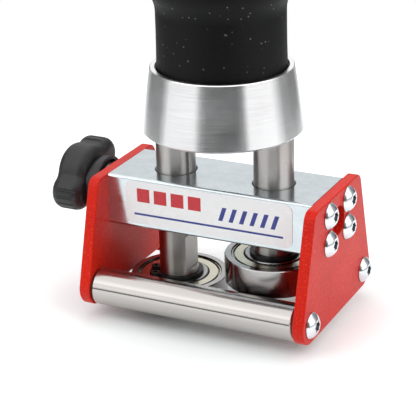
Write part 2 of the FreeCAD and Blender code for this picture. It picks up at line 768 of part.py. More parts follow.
def collar():
    """The turned cone: sockets for both posts, a seat for the grip and a counterbored bolt hole."""
    body = new_body("collar", z=size("collar_bottom"))
    height = size("collar_height")
    floor = height - size("collar_recess_depth")
    bolt = size("bolt_radius") + size("bolt_play")
    head = size("bolt_head_radius") + size("bolt_play")
    lower = size("collar_bottom_chamfer")
    upper = size("collar_top_chamfer")
    recess = size("grip_foot_radius") + size("collar_recess_gap")
    rim = recess + size("collar_lip_width")
    turn(body, "cone", [
        (head, 0.0), (size("collar_bottom_radius") - lower, 0.0), (size("collar_bottom_radius"), lower),
        (rim, height - upper), (rim - upper, height), (recess, height), (recess, floor),
        (bolt, floor), (bolt, size("counterbore_depth")), (head, size("counterbore_depth"))])
    drill(body, "post_sockets", "XY_Plane", 0.0, [(-half_spacing, 0.0), (half_spacing, 0.0)],
          size("post_radius"), size("post_seat_depth"), True)
    drill(body, "spigot_sockets", "XY_Plane", size("post_seat_depth"),
          [(-half_spacing, 0.0), (half_spacing, 0.0)], size("spigot_radius"),
          size("spigot_top") - size("post_seat_depth"), True)
    drill(body, "set_screw_holes", "XZ_Plane", 0.0,
          [(-half_spacing, size("set_screw_height")), (half_spacing, size("set_screw_height"))],
          size("screw_radius"), size("collar_bottom_radius") + BEYOND)


def post_set_screws():
    """Two set screws behind the collar, each with its tip in a post's dimple."""
    start = size("spigot_radius") - size("set_screw_dimple")
    body = new_body("post_set_screws", x=half_spacing, y=start,
                    z=size("collar_bottom") + size("set_screw_height"), angle=90.0)
    length = size("set_screw_length")
    radius = size("screw_radius")
    edge = size("screw_end_chamfer")
    blank = turn(body, "blank", [(0.0, 0.0), (0.0, radius - edge), (edge, radius), (length - edge, radius),
                                 (length, radius - edge), (length, 0.0)], "H_Axis")
    hexagon = new_sketch(body, "hex_sketch", "YZ_Plane", length)
    draw_outline(hexagon, [(size("set_screw_hex") * math.cos(math.radians(60.0 * step)),
                            size("set_screw_hex") * math.sin(math.radians(60.0 * step)))
                           for step in range(6)])
    recess = add_pocket(body, "recess", hexagon, size("set_screw_hex_depth"))
    repeat_along(body, "pair", [blank, recess], ("Y_Axis", size("post_spacing")))


def grip_bolt():
    """The cap screw that goes up through the collar into the grip's core."""
    body = new_body("grip_bolt", z=size("collar_bottom") + size("counterbore_depth"))
    head = -size("bolt_head_height")
    wide = size("bolt_head_radius")
    shank = size("bolt_radius")
    end = size("bolt_length")
    rim = size("bolt_head_edge")
    edge = size("bolt_end_chamfer")
    turn(body, "blank", [
        (0.0, head), (wide - rim, head), (wide, head + rim), (wide, 0.0), (shank, 0.0),
        (shank, end - edge), (shank - edge, end), (0.0, end)])
    hexagon = new_sketch(body, "hex_sketch", "XY_Plane", head)
    corner = size("bolt_hex") * (2.0 / math.sqrt(3.0))
    draw_outline(hexagon, [(corner * math.cos(math.radians(60.0 * step)),
                            corner * math.sin(math.radians(60.0 * step))) for step in range(6)])
    add_pocket(body, "recess", hexagon, size("bolt_head_height") / 2, True)


def grip_core():
    """The bar inside the grip: tapped for the bolt below and bored hollow from the top."""
    body = new_body("grip_core", z=grip_seat)
    length = size("grip_length")
    bolt = size("bolt_radius")
    bore = size("core_bore_radius")
    thread = size("core_thread_depth")
    bore_floor = thread + size("core_web_thickness")
    turn(body, "bar", [(bolt, 0.0), (size("core_radius"), 0.0), (size("core_radius"), length),
                       (bore, length), (bore, bore_floor), (0.0, bore_floor), (0.0, thread),
                       (bolt, thread)])


def rubber_grip():
    """The rubber sleeve: a plain foot in the collar's recess, then even waves for the fingers."""
    body = new_body("rubber_grip", z=grip_seat)
    inside = size("core_radius")
    length = size("grip_length")
    foot = size("grip_foot_radius")
    waist = size("grip_waist_radius")
    wave = size("grip_wave")
    quarter = size("grip_wave_pitch") / 4
    bend = (quarter * quarter + wave * wave) / (wave * 2)
    flare = size("grip_flare_height")
    hollow = (flare * flare + (foot - waist) * (foot - waist)) / ((foot - waist) * 2)
    height = size("grip_wave_start")
    points = [(inside, 0.0), (foot, 0.0), (waist, flare, -hollow), (waist, height)]
    for count in range(GRIP_WAVES):
        for place, reach, radius in ((1, wave, -bend), (2, wave * 2, bend), (3, wave, bend),
                                     (4, as_size(0.0), -bend)):
            points.append((waist + reach, height + quarter * place, radius))
        height = height + size("grip_wave_pitch")
    round_end = size("grip_end_fillet")
    points += [(waist, length - round_end), (waist - round_end, length, round_end), (inside, length)]
    turn(body, "sleeve", points)


def grip_end_cap():
    """The plug that closes the top of the core and covers the sleeve's end."""
    body = new_body("grip_end_cap", z=grip_top)
    rim = size("cap_radius")
    height = size("cap_height")
    dome = height - size("cap_rim")
    bend = (rim * rim + dome * dome) / (dome * 2)
    turn(body, "cap", [(0.0, -size("cap_plug_length")), (size("core_bore_radius"), -size("cap_plug_length")),
                       (size("core_bore_radius"), 0.0), (rim, 0.0), (rim, size("cap_rim")),
                       (0.0, height, bend)])


def wing_knob():
    """Two wings set a little above the screw's axis, ribbed round their tips, and a hollow skirt."""
    start = -(plate_outside + size("knob_gap"))
    body = new_body("wing_knob", x=start, z=clamp_height, axis=(1, 0, 0), angle=KNOB_TURN)
    tip = size("knob_wing_radius")
    hub = size("knob_hub_radius")
    shift = size("knob_wing_shift")
    lift = size("knob_wing_lift")
    reach = size("knob_wing_length") / 2 - tip
    root = (hub * hub - tip * tip).root()
    rear = shift + reach
    front = shift - reach
    low = lift - tip
    high = lift + tip
    belly = (front * front + low * low).root()
    outline = [(-front, low, belly), (rear, low), (rear + tip, lift, tip), (rear, high, tip),
               (shift + root, high), (shift - root, high, hub), (front, high),
               (front - tip, lift, tip), (front, low, tip)]
    wings = new_sketch(body, "wing_sketch", "YZ_Plane")
    draw_outline(wings, outline)
    blank = add_pad(body, "wings", wings, size("knob_thickness"), reverse=True)
    corners = [FreeCAD.Vector(0.0, along.number, up.number)
               for along, up in ((-front, low), (front, low), (shift + root, high), (shift - root, high))]
    roots = edges_where(blank, lambda edge: runs_along(edge, (1, 0, 0)) and any(
        corner.distanceToLine(edge.CenterOfMass, FreeCAD.Vector(1, 0, 0)) < TOLERANCE for corner in corners))
    blank = dress(body, "Fillet", "roots", blank, roots, size("knob_root_radius"))
    rims = edges_where(blank, lambda edge: edge.BoundBox.XLength < TOLERANCE)
    dress(body, "Fillet", "rims", blank, rims, size("knob_edge_radius"))
    ribs = new_sketch(body, "rib_sketch", "YZ_Plane", BEYOND)
    for centre, side, count in ((rear, 1, KNOB_REAR_RIBS), (front, -1, KNOB_FRONT_RIBS)):
        for rib in range(count):
            turned = math.radians(KNOB_RIB_PITCH * (rib - (count - 1) / 2))
            draw_circle(ribs, centre + tip * (side * math.cos(turned)), lift + tip * math.sin(turned),
                        size("knob_rib_radius"))
    add_pocket(body, "ribs", ribs, size("knob_thickness") + BEYOND * 2)
    neck = new_sketch(body, "neck_sketch", "YZ_Plane", -size("knob_edge_radius"))
    draw_circle(neck, 0.0, 0.0, size("knob_neck_radius"))
    add_pad(body, "neck", neck, size("knob_edge_radius") + size("knob_neck_length"))
    skirt = new_sketch(body, "skirt_sketch", "YZ_Plane", size("knob_neck_length"))
    draw_circle(skirt, 0.0, 0.0, size("knob_skirt_radius"))
    add_pad(body, "skirt", skirt, size("knob_skirt_length"))
    front_face = size("knob_neck_length") + size("knob_skirt_length")
    drill(body, "skirt_recess", "YZ_Plane", front_face, [(0.0, 0.0)],
          size("knob_skirt_radius") - size("knob_skirt_wall"), size("knob_recess_depth"))
    drill(body, "screw_socket", "YZ_Plane", front_face, [(0.0, 0.0)], size("clamp_hub_radius"),
          size("clamp_spigot_length") + size("knob_recess_depth"))


def clamp_screw():
    """The knob's threaded screw, its thick head moulded into the knob, its tip in the brass pad."""
    face = -(half_spacing + size("post_radius") + size("pad_stand_off") + size("pad_length"))
    body = new_body("clamp_screw", x=face, z=clamp_height)
    radius = size("clamp_screw_radius")
    recess_floor = -(plate_outside + size("knob_gap")) + size("knob_neck_length") + (
        size("knob_skirt_length") - size("knob_recess_depth"))
    hub = recess_floor - face
    tip = size("clamp_tip_length")
    end = hub - size("clamp_spigot_length")
    gap = -size("pad_stand_off")
    edge = size("clamp_end_chamfer")
    turn(body, "blank", [
        (end, 0.0), (end, size("clamp_hub_radius")),
        (hub + size("clamp_hub_length"), size("clamp_hub_radius")), (hub + size("clamp_hub_length"), radius),
        (gap - edge, radius), (gap, radius - edge), (gap, size("clamp_tip_radius")),
        (tip, size("clamp_tip_radius")), (tip, 0.0)], "H_Axis")


def knob_washer():
    """The washer on the clamp screw, held off the left plate by the heads of its screws."""
    seat = plate_outside + size("head_height") + size("washer_gap")
    body = new_body("knob_washer", x=-(seat + size("washer_thickness")), z=clamp_height)
    outside = size("washer_radius")
    inside = size("clamp_screw_radius") + size("washer_bore_play")
    edge = size("washer_edge")
    turn(body, "ring", [(0.0, inside), (0.0, outside - edge), (edge, outside),
                        (size("washer_thickness"), outside), (size("washer_thickness"), inside)], "H_Axis")


def clamp_pad():
    """The brass pad that the screw presses on the post, hollowed to the post's radius."""
    front = half_spacing + size("post_radius") + size("pad_stand_off")
    body = new_body("clamp_pad", x=-(front + size("pad_length")), z=clamp_height)
    radius = clamp_bore - size("pad_play")
    socket = size("clamp_tip_radius") + size("clamp_thread_play")
    depth = size("clamp_tip_length") + size("clamp_thread_play")
    crown = size("pad_length") + size("pad_stand_off") + size("post_radius") - (
        size("post_radius") * size("post_radius") - radius * radius).root()
    turn(body, "slug", [(0.0, socket), (0.0, radius), (crown, radius), (crown, 0.0), (depth, 0.0),
                        (depth, socket)], "H_Axis")
    saddle = new_sketch(body, "saddle_sketch", "XY_Plane", -(radius + BEYOND))
    draw_circle(saddle, size("pad_length") + size("pad_stand_off") + size("post_radius"), 0.0,
                size("post_radius") + size("pad_stand_off"))
    add_pocket(body, "saddle", saddle, (radius + BEYOND) * 2, True)


left_bottom = as_size(0.0)
right_bottom = size("right_bearing_bottom")

crosshead_block()
label_plate()
side_plate("left_side_plate", -plate_outside, size("plate_thickness"), -1)
side_plate("right_side_plate", half_block, as_size(0.0), 1)
for side, turned, outward in (("left", 180.0, -1), ("right", 0.0, 1)):
    place = {"x": plate_outside * outward, "angle": turned}
    button_screws(side + "_plate_screws", height=screw_low_height, offset=size("screw_offset"),
                  reach=screw_through, grid=True, **place)
    button_screws(side + "_axle_screw", height=size("roller_height"), offset=size("roller_offset") * outward,
                  reach=screw_through, **place)
    button_screws(side + "_corner_screw", height=size("roller_height"),
                  offset=size("roller_offset") * -outward, reach=size("plate_thickness"), **place)
roller_axle()
cross_roller()
roller_bushes()
guide_bush("left_guide_bush", -half_spacing, 0.0)
guide_bush("right_guide_bush", half_spacing, 180.0)
post("left_post", -half_spacing, left_bottom, with_flat=True)
post("right_post", half_spacing, right_bottom)
for side, x, bottom in (("left", -half_spacing, left_bottom), ("right", half_spacing, right_bottom)):
    circlip(side, x, bottom)
    ball_bearing(side, x, bottom)
collar()
post_set_screws()
grip_bolt()
grip_core()
rubber_grip()
grip_end_cap()
wing_knob()
clamp_screw()
knob_washer()
clamp_pad()


def check_document():
    """Stop if any object failed, or any exported piece is empty or not valid."""
    doc.recompute()
    for item in doc.Objects:
        if "Invalid" in item.State or "Error" in item.State:
            raise RuntimeError("%s failed: %s" % (item.Name, item.State))
    for body in exported:
        if body.Shape.isNull() or not body.Shape.isValid() or not body.Shape.Solids:
            raise RuntimeError("%s has no valid solid" % body.Label)


check_document()
os.makedirs("parts", exist_ok=True)
for body in exported:
    body.Shape.exportStep("parts/%s.step" % body.Label)
    print("%-28s solids %2d  volume %9.1f" % (body.Label, len(body.Shape.Solids), body.Shape.Volume))
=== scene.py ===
"""The looks of the sheet metal hand bender: finishes, label marks, studio and camera."""

import json
import math

import bpy
from mathutils import Euler, Matrix, Vector

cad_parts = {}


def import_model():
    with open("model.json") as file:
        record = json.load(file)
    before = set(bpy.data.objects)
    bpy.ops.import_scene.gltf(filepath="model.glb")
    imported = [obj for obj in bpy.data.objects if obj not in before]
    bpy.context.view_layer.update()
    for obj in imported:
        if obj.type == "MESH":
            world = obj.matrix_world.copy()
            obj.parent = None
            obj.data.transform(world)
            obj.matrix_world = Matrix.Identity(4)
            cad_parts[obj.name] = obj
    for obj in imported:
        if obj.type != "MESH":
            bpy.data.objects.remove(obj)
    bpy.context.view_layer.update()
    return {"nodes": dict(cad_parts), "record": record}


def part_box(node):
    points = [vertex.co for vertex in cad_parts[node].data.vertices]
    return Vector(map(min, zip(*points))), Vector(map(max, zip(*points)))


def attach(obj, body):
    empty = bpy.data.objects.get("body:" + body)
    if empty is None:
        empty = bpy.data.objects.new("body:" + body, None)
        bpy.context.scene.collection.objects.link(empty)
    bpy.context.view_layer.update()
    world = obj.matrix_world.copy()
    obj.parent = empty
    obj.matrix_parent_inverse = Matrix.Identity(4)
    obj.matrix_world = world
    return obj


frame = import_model()

# The scene is in metres
MM = 0.001
MICRON = 0.001 * MM
WHITE = (1.0, 1.0, 1.0, 1.0)


def midpoint(node):
    """The middle of a node's box at rest."""
    low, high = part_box(node)
    return (low + high) / 2


# Places read from the frame: the collar's middle, and the point of the floor under it
COLLAR_MIDDLE = midpoint("collar")
CENTRE = Vector((COLLAR_MIDDLE.x, COLLAR_MIDDLE.y, 0.0))

# Camera, where the photograph was taken from. Its sensor is measured in millimetres, and its turn is
# the tilt up from straight down, the lean to the side and the heading, in degrees
IMAGE_PIXELS = 416
FOCAL_PIXELS = 1521.54
SENSOR_WIDTH = 36.0
CLIP_NEAR = 0.01
CLIP_FAR = 50.0
CAMERA_PLACE = Vector((233.60, -444.13, 238.37)) * MM
CAMERA_TURN = (67.844, 1.381, 25.949)
CAMERA_AZIMUTH = math.atan2(CAMERA_PLACE.y - CENTRE.y, CAMERA_PLACE.x - CENTRE.x)


def placed(name, data):
    """A new object of the scene that holds the data."""
    holder = bpy.data.objects.new(name, data)
    bpy.context.scene.collection.objects.link(holder)
    return holder


def flat_piece(name, vertices, faces, material):
    """A new mesh object with one material."""
    mesh = bpy.data.meshes.new(name)
    mesh.from_pydata(vertices, [], faces)
    mesh.materials.append(material)
    return placed(name, mesh)


def camera():
    """The photograph's camera."""
    data = bpy.data.cameras.new("camera")
    data.sensor_width = SENSOR_WIDTH
    data.sensor_fit = "HORIZONTAL"
    data.lens = FOCAL_PIXELS * SENSOR_WIDTH / IMAGE_PIXELS
    data.clip_start = CLIP_NEAR
    data.clip_end = CLIP_FAR
    holder = placed("camera", data)
    turn = Euler([math.radians(angle) for angle in CAMERA_TURN])
    holder.matrix_world = Matrix.LocRotScale(CAMERA_PLACE, turn, None)
    bpy.context.scene.camera = holder


def colour(red, green, blue, share=1.0):
    """A colour with its alpha, or a share of its light."""
    return (red * share, green * share, blue * share, 1.0)


def grey(level):
    return colour(level, level, level)


class Nodes:
    """Short calls for building one node tree."""

    def __init__(self, tree):
        self.tree = tree
        tree.nodes.clear()

    def add(self, kind, **settings):
        """A new node with some of its properties set."""
        node = self.tree.nodes.new(kind)
        for name, value in settings.items():
            setattr(node, name, value)
        return node

    def join(self, out, into):
        self.tree.links.new(out, into)

    def put(self, value, socket):
        """A number, colour or vector is set on the socket, and an output is linked to it."""
        if isinstance(value, bpy.types.NodeSocket):
            self.join(value, socket)
        else:
            socket.default_value = value

    def put_all(self, node, values):
        """Each value goes to the socket with its name or number."""
        for place, value in values.items():
            self.put(value, node.inputs[place])

    def calc(self, operation, first, second=0.0, third=0.0, clamp=False):
        """One step of arithmetic on numbers."""
        node = self.add("ShaderNodeMath", operation=operation, use_clamp=clamp)
        self.put_all(node, {0: first, 1: second, 2: third})
        return node.outputs[0]

    def vector_calc(self, operation, first, second=(0.0, 0.0, 0.0), output="Vector"):
        """One step of arithmetic on vectors."""
        node = self.add("ShaderNodeVectorMath", operation=operation)
        self.put_all(node, {0: first, 1: second})
        return node.outputs[output]

    def mapped(self, scale=(1.0, 1.0, 1.0), place=(0.0, 0.0, 0.0)):
        """The object's own coordinates in metres, measured from a place and then scaled."""
        coordinates = self.add("ShaderNodeTexCoord")
        moved = self.vector_calc("SUBTRACT", coordinates.outputs["Object"], place)
        return self.vector_calc("MULTIPLY", moved, scale)

    def noise(self, vector, scale, detail=2.0, roughness=0.5):
        node = self.add("ShaderNodeTexNoise")
        self.put_all(node, {"Vector": vector, "Scale": scale, "Detail": detail, "Roughness": roughness})
        return node.outputs[0]

    def remap(self, value, low, high, new_low=0.0, new_high=1.0):
        """A range of the value, stretched onto a new range and cut off at its ends."""
        node = self.add("ShaderNodeMapRange")
        self.put_all(node, {"Value": value, "From Min": low, "From Max": high,
                            "To Min": new_low, "To Max": new_high})
        return node.outputs[0]

    def spread(self, noise, new_low=0.0, new_high=1.0, reach=0.2):
        """The part of a noise within reach of its middle, stretched onto a new range."""
        return self.remap(noise, 0.5 - reach, 0.5 + reach, new_low, new_high)

    def ramp(self, value, stops):
        """Levels of grey that change evenly between stops, each a place and its level."""
        node = self.add("ShaderNodeValToRGB")
        first, last = stops[0][0], stops[-1][0]
        elements = node.color_ramp.elements
        while len(elements) < len(stops):
            elements.new(0.5)
        for element, (place, level) in zip(elements, stops):
            element.position = (place - first) / (last - first)
            element.color = grey(level)
        self.join(self.remap(value, first, last), node.inputs[0])
        return node.outputs[0]

    def blend(self, share, first, second):
        """A mix of two colours, whose sockets in a mix node are 6 and 7 in and 2 out."""
        node = self.add("ShaderNodeMix", data_type="RGBA")
        self.put_all(node, {0: share, 6: first, 7: second})
        return node.outputs[2]

    def openness(self, reach, shut, free, samples):
        """From 0 where things within reach shut the surface in, to 1 where it lies free."""
        node = self.add("ShaderNodeAmbientOcclusion", samples=samples)
        self.put(reach, node.inputs["Distance"])
        return self.remap(node.outputs["AO"], shut, free)

    def bump(self, height, distance, strength=1.0, under=None):
        """A bumped normal, on top of the one under it where there is one."""
        node = self.add("ShaderNodeBump")
        self.put_all(node, {"Height": height, "Distance": distance, "Strength": strength})
        if under is not None:
            self.join(under, node.inputs["Normal"])
        return node.outputs[0]

    def end(self, shader, kind="ShaderNodeOutputMaterial"):
        """The shader is the tree's result."""
        self.join(shader.outputs[0], self.add(kind).inputs["Surface"])

    def surface(self, **sockets):
        """The principled shader at the end of the tree. Underscores stand for its sockets' spaces."""
        shader = self.add("ShaderNodeBsdfPrincipled")
        self.put_all(shader, {name.replace("_", " "): value for name, value in sockets.items()})
        self.end(shader)


def new_material(name):
    """A new material, and the calls that build its node tree."""
    material = bpy.data.materials.new(name)
    material.use_nodes = True
    return material, Nodes(material.node_tree)


# Bare metal: the shares of its roughness by which marks and patches vary it, the turn that draws its
# reflections out along its axis, and the openness at which a recess's painted shade is darkest and at
# which it has none
MARK_SWING = 0.15
PATCH_SWING = 0.2
QUARTER_TURN = 0.25
HOLLOW_SHUT = 0.30
HOLLOW_FREE = 0.85
HOLLOW_SAMPLES = 8


def steel(name, base, roughness, grain, patch_scale, depth=0.5 * MICRON, darker=0.9,
          turned="", stretch=0.0, painted_shade_reach=0.0, painted_shade_share=1.0):
    """Bare metal with fine marks, and wider patches that vary its gloss.

    grain scales the marks along each axis, depth is their height, and darker is the share of the
    colour in their lows. turned names the axis that the marks run round, and stretch is how far
    reflections are drawn out along it. painted_shade_reach is the reach in metres within which
    recesses and shut-in places are painted darker as shade, and painted_shade_share is the share
    of the colour that is left in that painted shade.
    """
    material, tree = new_material(name)
    marks = tree.noise(tree.mapped(grain), scale=1.0, detail=3.0, roughness=0.6)
    patches = tree.noise(tree.mapped(), patch_scale, detail=4.0, roughness=0.6)
    shade = tree.blend(tree.spread(marks), colour(*base, darker), colour(*base))
    # Painted shade: recesses and places shut in by nearby parts are darkened in the colour
    if painted_shade_reach:
        free = tree.openness(painted_shade_reach, HOLLOW_SHUT, HOLLOW_FREE, HOLLOW_SAMPLES)
        shade = tree.blend(free, colour(*base, painted_shade_share), shade)
    mark_gloss = tree.spread(marks, -MARK_SWING * roughness, MARK_SWING * roughness)
    patch_gloss = tree.spread(patches, (1 - PATCH_SWING) * roughness, (1 + PATCH_SWING) * roughness)
    turning = {}
    if turned:
        tangent = tree.add("ShaderNodeTangent", direction_type="RADIAL", axis=turned)
        turning = {"Anisotropic": stretch, "Anisotropic_Rotation": QUARTER_TURN,
                   "Tangent": tangent.outputs[0]}
    tree.surface(Base_Color=shade, Metallic=1.0, Roughness=tree.calc("ADD", mark_gloss, patch_gloss),
                 Normal=tree.bump(marks, depth), **turning)
    return material


def round_x(fine, long=60.0):
    """The grain of a part turned about X: fine along X, long round it."""
    return (fine, long, long)


def round_z(fine, long=60.0):
    """The grain of a part turned about Z: fine along Z, long round it."""
    return (long, long, fine)


def along_x(fine, long):
    """The grain of a part brushed along X."""
    return (long, fine, fine)


def even(fine):
    """The grain of a part that was neither turned nor brushed."""
    return (fine, fine, fine)


def zinc_plate():
    """Bright bluish zinc with a soft satin grain and faint cloudy patches."""
    material, tree = new_material("zinc_plate")
    clouds = tree.noise(tree.mapped(), scale=160.0, detail=4.0, roughness=0.6)
    grain = tree.noise(tree.mapped(along_x(fine=3000.0, long=400.0)), scale=1.0)
    shade = tree.blend(tree.spread(clouds, reach=0.15), colour(0.56, 0.62, 0.65), colour(0.64, 0.69, 0.72))
    gloss = tree.calc("ADD", tree.spread(clouds, 0.13, 0.20), tree.spread(grain, -0.03, 0.03))
    satin = tree.bump(grain, 0.6 * MICRON)
    tree.surface(Base_Color=shade, Metallic=1.0, Roughness=gloss,
                 Normal=tree.bump(clouds, 6.0 * MICRON, strength=0.3, under=satin))
    return material


def film(name, dull, bright, smooth, rough):
    """Film under a clear gloss with a faint ripple, between two colours and two roughnesses."""
    material, tree = new_material(name)
    ripple = tree.noise(tree.mapped(), scale=220.0)
    tree.surface(Base_Color=tree.blend(ripple, dull, bright), Roughness=tree.spread(ripple, smooth, rough),
                 Normal=tree.bump(ripple, 8.0 * MICRON, strength=0.4))
    return material


def label_film():
    """The label's white film."""
    return film("label_film", colour(0.94, 0.94, 0.95), colour(0.97, 0.97, 0.98), smooth=0.22, rough=0.30)


def printed_ink(name, base):
    """Ink printed on the label."""
    return film(name, colour(*base, 0.92), colour(*base), smooth=0.24, rough=0.32)


def red_powder_coat():
    """Satin powder coat with a fine orange peel, and tiny bright specks painted in as glints."""
    material, tree = new_material("red_powder_coat")
    where = tree.mapped()
    peel = tree.noise(where, scale=1100.0, detail=3.0, roughness=0.55)
    broad = tree.noise(where, scale=60.0, detail=3.0)
    # Painted glints: tiny bright specks in the colour stand for sparkle off the coat
    painted_glints = tree.remap(tree.noise(where, scale=2000.0, detail=1.0), low=0.60, high=0.72, new_high=0.4)
    shade = tree.blend(tree.spread(broad), colour(0.62, 0.010, 0.004), colour(0.72, 0.016, 0.005))
    shade = tree.blend(painted_glints, shade, colour(0.95, 0.15, 0.07))
    tree.surface(Base_Color=shade, Roughness=tree.spread(peel, 0.36, 0.48),
                 Normal=tree.bump(peel, 26.0 * MICRON, strength=0.9),
                 Specular_IOR_Level=0.12, Coat_Weight=0.16, Coat_Roughness=0.20)
    return material


def black_rubber():
    """Matt moulded rubber with a fine grain and patches of pale specks."""
    material, tree = new_material("grip_rubber")
    where = tree.mapped()
    grain = tree.noise(where, scale=1500.0, detail=3.0, roughness=0.6)
    specks = tree.add("ShaderNodeTexVoronoi", feature="F1")
    tree.put_all(specks, {"Vector": where, "Scale": 520.0})
    dots = tree.remap(specks.outputs["Distance"], low=0.10, high=0.18, new_low=1.0, new_high=0.0)
    speck_patches = tree.remap(tree.noise(where, scale=300.0, detail=1.0), low=0.49, high=0.57)
    shade = tree.blend(tree.spread(grain, reach=0.15), grey(0.001), grey(0.004))
    shade = tree.blend(tree.calc("MULTIPLY", dots, speck_patches), shade, colour(0.13, 0.13, 0.12))
    tree.surface(Base_Color=shade, Roughness=tree.spread(grain, 0.44, 0.60),
                 Normal=tree.bump(grain, 18.0 * MICRON, strength=0.9), Specular_IOR_Level=0.17)
    return material


def moulded_plastic():
    """Dark plastic with a fine spark texture from the mould."""
    material, tree = new_material("knob_plastic")
    where = tree.mapped()
    spark = tree.noise(where, scale=2200.0, detail=3.0, roughness=0.65)
    flow = tree.noise(where, scale=120.0, detail=3.0)
    shade = tree.blend(tree.spread(flow), colour(0.014, 0.014, 0.015), colour(0.024, 0.024, 0.026))
    tree.surface(Base_Color=shade, Roughness=tree.spread(spark, 0.40, 0.52),
                 Normal=tree.bump(spark, 10.0 * MICRON, strength=0.7))
    return material


def black_metal(name, base, roughness):
    """Black oxide with a faint uneven sheen."""
    material, tree = new_material(name)
    cloud = tree.noise(tree.mapped(), scale=500.0, detail=3.0, roughness=0.6)
    tree.surface(Base_Color=tree.blend(cloud, colour(*base, 0.7), colour(*base)), Metallic=0.6,
                 Roughness=tree.spread(cloud, roughness * 0.8, roughness * 1.25),
                 Normal=tree.bump(cloud, 4.0 * MICRON, strength=0.5))
    return material


def dark_polymer():
    """Dark dry-running polymer with a fine grain."""
    material, tree = new_material("bush_polymer")
    grain = tree.noise(tree.mapped(), scale=1300.0)
    tree.surface(Base_Color=tree.blend(grain, colour(0.010, 0.010, 0.011), grey(0.022)),
                 Roughness=tree.spread(grain, 0.38, 0.50),
                 Normal=tree.bump(grain, 6.0 * MICRON, strength=0.5))
    return material


# One finish for each material slot of the record
FINISHES = {
    "zinc_plated_steel": zinc_plate(),
    "label_film": label_film(),
    "red_powder_coat": red_powder_coat(),
    # The screws get painted shade in their sockets and round the rims of their heads
    "screw_steel": steel(
        "screw_zinc", (0.80, 0.83, 0.87), roughness=0.19, grain=even(900.0), patch_scale=300.0,
        depth=1.0 * MICRON, painted_shade_reach=1.3 * MM, painted_shade_share=0.35),
    "ground_steel": steel(
        "ground_steel", (0.53, 0.51, 0.49), roughness=0.38, grain=round_z(9000.0), patch_scale=120.0,
        turned="Z", stretch=0.98),
    "polished_steel": steel(
        "roller_steel", (0.51, 0.485, 0.465), roughness=0.15, grain=round_x(9000.0), patch_scale=60.0,
        darker=0.97, turned="X", stretch=0.95),
    # Bearing rings and shields get painted shade in their grooves and where nearby parts shut them in
    "bearing_steel": steel(
        "bearing_steel", (0.46, 0.45, 0.45), roughness=0.16, grain=round_z(9000.0), patch_scale=150.0,
        turned="Z", stretch=0.6, painted_shade_reach=6.0 * MM, painted_shade_share=0.03),
    "shield_steel": steel(
        "shield_steel", (0.64, 0.61, 0.50), roughness=0.22, grain=even(700.0), patch_scale=400.0,
        depth=1.0 * MICRON, painted_shade_reach=6.0 * MM, painted_shade_share=0.10),
    "cage_steel": steel(
        "cage_steel", (0.50, 0.49, 0.45), roughness=0.35, grain=even(700.0), patch_scale=400.0,
        depth=1.0 * MICRON),
    "black_spring_steel": black_metal("circlip_black", (0.030, 0.030, 0.030), roughness=0.40),
    "black_oxide_steel": black_metal("oxide_black", (0.040, 0.040, 0.042), roughness=0.42),
    "black_polymer": dark_polymer(),
    "turned_aluminium": steel(
        "turned_aluminium", (0.98, 0.98, 0.99), roughness=0.21, grain=round_z(13000.0), patch_scale=40.0,
        depth=0.7 * MICRON, darker=0.92, turned="Z", stretch=0.9),
    "core_aluminium": steel(
        "core_aluminium", (0.78, 0.79, 0.80), roughness=0.32, grain=round_z(4200.0), patch_scale=140.0),
    "grip_rubber": black_rubber(),
    "knob_plastic": moulded_plastic(),
    "brass": steel(
        "pad_brass", (0.72, 0.52, 0.22), roughness=0.28, grain=round_x(5000.0), patch_scale=120.0),
}


def dress_nodes():
    """Each CAD node takes the finish of its material slot."""
    for part in frame["record"]["subparts"]:
        mesh = frame["nodes"][part["node"]].data
        mesh.materials.clear()
        mesh.materials.append(FINISHES[part["material_slot"]])


# Plain printed marks on the label: blocks, a line and slanted strokes, in millimetres from its middle
MARK_LIFT = 0.02
MARK_RED = printed_ink("print_red", (0.62, 0.020, 0.030))
MARK_BLUE = printed_ink("print_blue", (0.025, 0.040, 0.28))
BLOCK_COUNT = 4
BLOCK_PITCH = 6.6
BLOCK_WIDTH = 4.9
BLOCK_HEIGHT = 5.0
BLOCK_START = -27.0
BLOCK_LEVEL = 0.4
LINE_START = -28.3
LINE_WIDTH = 56.6
LINE_HEIGHT = 0.75
LINE_LEVEL = -4.6
STROKE_COUNT = 6
STROKE_PITCH = 3.9
STROKE_WIDTH = 1.6
STROKE_HEIGHT = 5.0
STROKE_SLANT = 1.7
STROKE_START = 4.2
STROKE_LEVEL = -1.8


def mark(start, width, level, height, slant=0.0):
    """The corners of a four-sided mark, whose top is shifted by its slant."""
    return [(start, level), (start + width, level), (start + width + slant, level + height),
            (start + slant, level + height)]


def printed_piece(name, marks, ink):
    """Marks that lie flat on the label's front face and ride with it."""
    middle = midpoint("label_plate")
    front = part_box("label_plate")[0].y - MARK_LIFT * MM
    vertices = [(middle.x + across * MM, front, middle.z + up * MM)
                for corners in marks for across, up in corners]
    faces = [tuple(range(first, first + 4)) for first in range(0, len(vertices), 4)]
    piece = flat_piece(name, vertices, faces, ink)
    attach(piece, "depth_frame")


def label_marks():
    blocks = [mark(BLOCK_START + BLOCK_PITCH * place, BLOCK_WIDTH, BLOCK_LEVEL, BLOCK_HEIGHT)
              for place in range(BLOCK_COUNT)]
    line = mark(LINE_START, LINE_WIDTH, LINE_LEVEL, LINE_HEIGHT)
    strokes = [mark(STROKE_START + STROKE_PITCH * place, STROKE_WIDTH, STROKE_LEVEL, STROKE_HEIGHT,
                    STROKE_SLANT)
               for place in range(STROKE_COUNT)]
    printed_piece("label_blocks", blocks, MARK_RED)
    printed_piece("label_line", [line], MARK_BLUE)
    printed_piece("label_strokes", strokes, MARK_BLUE)


# Floor: a pale disc that keeps the tool's shadow, with painted shadow where the tool shuts it in, and a
# glow that grows with distance from the tool's middle, so that its dimmer part near the tool is painted
# shade
FLOOR_RADIUS = 0.30
FLOOR_SIDES = 96
FLOOR_COLOUR = colour(0.89, 0.92, 0.92)
